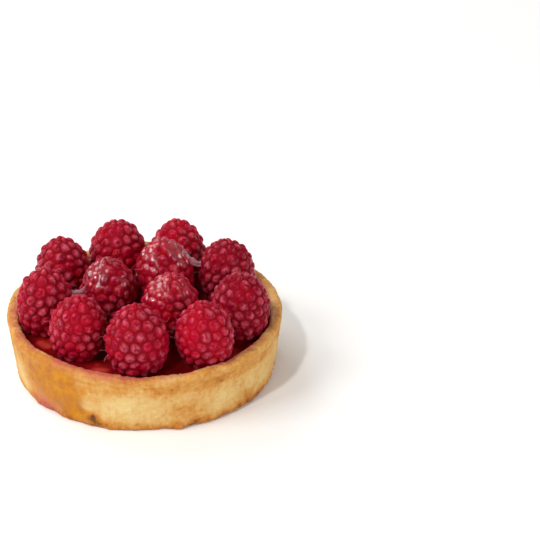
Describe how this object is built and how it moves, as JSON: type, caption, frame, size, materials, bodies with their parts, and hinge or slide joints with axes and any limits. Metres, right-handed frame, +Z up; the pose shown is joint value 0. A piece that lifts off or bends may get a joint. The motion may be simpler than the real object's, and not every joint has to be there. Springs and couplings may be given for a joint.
{
  "type": "raspberry tart",
  "caption": "Single-portion raspberry tart: a plain round shortcrust case with a red glazed filling, topped with whole raspberries standing tips up.",
  "frame": {"origin": "centre of the tart's footprint, on the surface it stands on", "axes": "+Z up, +X to the right and -Y to the front of the tart as it is usually looked at"},
  "size_m": [0.0844, 0.0848, 0.0375],
  "materials": {
    "baked_pastry": "matte",
    "glazed_filling": "glossy",
    "raspberry_flesh": "satin"
  },
  "bodies": {
    "root": {"pastry_case": "baked_pastry", "filling": "glazed_filling", "raspberry_01": "raspberry_flesh", "raspberry_02": "raspberry_flesh", "raspberry_03": "raspberry_flesh", "raspberry_04": "raspberry_flesh", "raspberry_05": "raspberry_flesh", "raspberry_06": "raspberry_flesh", "raspberry_07": "raspberry_flesh", "raspberry_08": "raspberry_flesh", "raspberry_09": "raspberry_flesh", "raspberry_10": "raspberry_flesh", "raspberry_11": "raspberry_flesh", "raspberry_12": "raspberry_flesh"}
  },
  "joints": []
}
